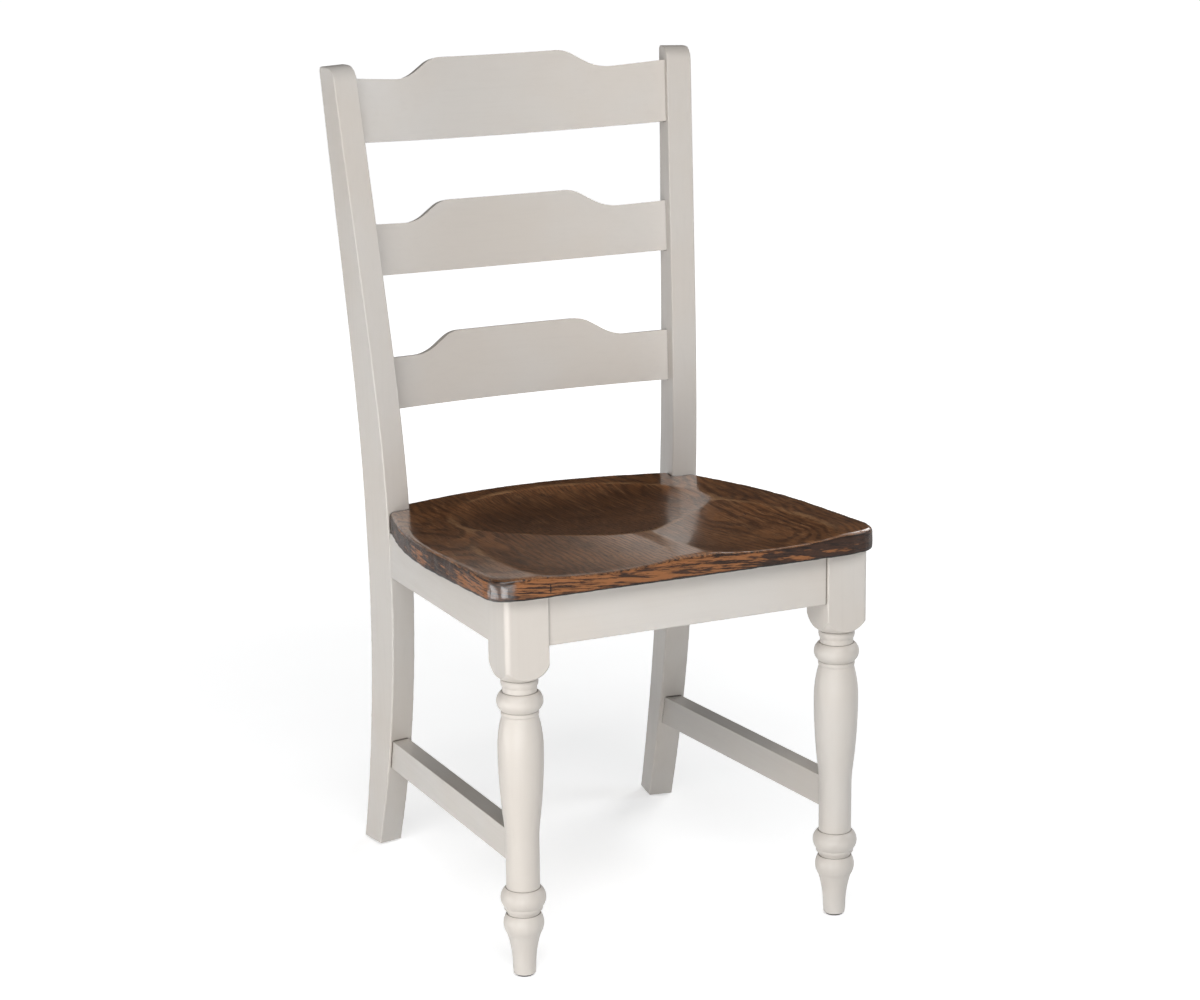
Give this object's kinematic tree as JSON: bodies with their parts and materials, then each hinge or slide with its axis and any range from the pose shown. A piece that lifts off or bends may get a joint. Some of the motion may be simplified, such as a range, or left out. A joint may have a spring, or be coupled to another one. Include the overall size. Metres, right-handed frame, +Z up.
{
  "type": "ladderback dining chair",
  "caption": "Ladderback side chair with bowed ogee-topped slats, toed and raked sawn rear posts, turned front legs, side stretchers and a solid scooped wooden seat.",
  "frame": {"origin": "on the floor, at the bottom centre of the bounding box", "axes": "+Z up, the chair faces -Y, and +X is to the right of someone who looks at it from the front"},
  "size_m": [0.473, 0.5421, 0.9521],
  "materials": {
    "painted_wood": "satin warm light grey paint with eased, slightly rubbed edges",
    "stained_wood": "satin dark walnut stain, worn through at the edges",
    "bare_wood": "plain sawn wood",
    "screw_steel": "plain zinc-plated steel",
    "glide_plastic": "dark moulded plastic"
  },
  "bodies": {
    "root": {"front_leg_left": "painted_wood", "front_leg_right": "painted_wood", "rear_post_left": "painted_wood", "rear_post_right": "painted_wood", "slat_top": "painted_wood", "slat_middle": "painted_wood", "slat_bottom": "painted_wood", "seat_rail_front": "painted_wood", "seat_rail_rear": "painted_wood", "seat_rail_left": "painted_wood", "seat_rail_right": "painted_wood", "side_stretcher_left": "painted_wood", "side_stretcher_right": "painted_wood", "seat": "stained_wood", "corner_block_front_left": "bare_wood", "corner_block_front_right": "bare_wood", "corner_block_rear_left": "bare_wood", "corner_block_rear_right": "bare_wood", "corner_block_screws": "screw_steel", "seat_screws": "screw_steel", "glide_front_left": "glide_plastic", "glide_front_right": "glide_plastic", "glide_rear_left": "glide_plastic", "glide_rear_right": "glide_plastic"}
  },
  "joints": []
}
